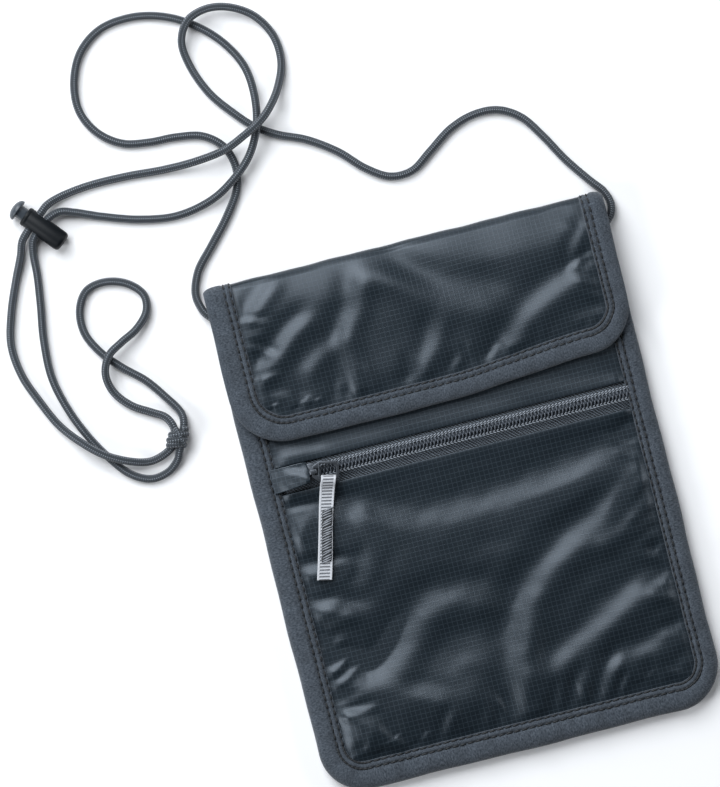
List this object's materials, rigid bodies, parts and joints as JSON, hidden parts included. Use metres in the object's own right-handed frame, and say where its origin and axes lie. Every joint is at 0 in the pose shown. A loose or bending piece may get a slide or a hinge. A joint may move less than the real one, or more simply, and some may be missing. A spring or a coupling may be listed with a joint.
{
  "type": "neck pouch wallet",
  "caption": "Flat soft neck pouch with a fold-over flap, a front zip pocket with a ribbon pull, bound edges and a long braided neck cord with a spring lock and a knotted end loop.",
  "frame": {"origin": "under the middle of the pouch, on the surface that its back lies on", "axes": "+X left to right across the front, +Y up towards the flap's fold, +Z out of the front"},
  "size_m": [0.2266, 0.2959, 0.0119],
  "materials": {
    "ripstop": "coated ripstop nylon, slightly shiny",
    "edge_binding": "soft brushed knit binding",
    "lining": "plain woven lining",
    "zip_tape": "woven zip tape",
    "zip_coil": "nylon coil",
    "dark_metal": "dark plated zinc",
    "grosgrain": "ribbed polyester ribbon",
    "lock_plastic": "fine matte moulded nylon",
    "spring_steel": "bright spring wire",
    "braided_cord": "braided polyester cord",
    "hook_nylon": "moulded hooks",
    "loop_pile": "brushed loop pile"
  },
  "bodies": {
    "pouch": {"back_panel": "lining", "pocket_divider": "lining", "front_lower_panel": "ripstop", "front_upper_panel": "ripstop", "mouth_hem": "edge_binding", "body_binding": "edge_binding", "cord_anchor_left": "edge_binding", "cord_anchor_right": "edge_binding", "flap_fold": "ripstop", "fold_binding_left": "edge_binding", "fold_binding_right": "edge_binding", "loop_strip": "loop_pile", "zip_tape_upper": "zip_tape", "zip_tape_lower": "zip_tape", "zip_coil_upper": "zip_coil", "zip_coil_lower": "zip_coil", "zip_end_tab": "ripstop", "cord_lock_barrel": "lock_plastic", "cord_lock_spring": "spring_steel", "stopper_knot": "braided_cord", "cord_left": "braided_cord", "cord_lower": "braided_cord", "cord_end_loop": "braided_cord", "cord_upper": "braided_cord", "cord_right": "braided_cord"},
    "flap": {"flap_panel": "ripstop", "flap_lining": "lining", "flap_binding": "edge_binding", "hook_strip": "hook_nylon"},
    "slider": {"zip_slider": "dark_metal"},
    "pull": {"zip_pull": "dark_metal"},
    "ribbon": {"pull_ribbon": "grosgrain"},
    "plunger": {"cord_lock_plunger": "lock_plastic"}
  },
  "joints": [
    {"name": "flap_hinge", "type": "hinge", "parent": "pouch", "child": "flap", "pos_m": [0, 0.0903, 0.0055], "axis": [-1, 0, 0], "range_deg": [0, 150], "deforming": ["flap_fold", "fold_binding_left", "fold_binding_right"]},
    {"name": "zip_slide", "type": "slide", "parent": "pouch", "child": "slider", "axis": [1, 0, 0], "range_m": [0, 0.105]},
    {"name": "pull_hinge", "type": "hinge", "parent": "slider", "child": "pull", "pos_m": [-0.0516, 0.02175, 0.01015], "axis": [-0.2079, -0.9781, 0], "range_deg": [0, 100]},
    {"name": "ribbon_hinge", "type": "hinge", "parent": "pull", "child": "ribbon", "pos_m": [-0.04696, 0.0177, 0.00968], "axis": [-0.9744, 0.2071, 0.0872], "range_deg": [0, 120]},
    {"name": "lock_press", "type": "slide", "parent": "pouch", "child": "plunger", "axis": [0.6475, -0.7621, 0], "range_m": [0, 0.0026], "stiffness_N_per_m": 900, "springref_m": -0.0015, "deforming": ["cord_lock_spring"]}
  ]
}
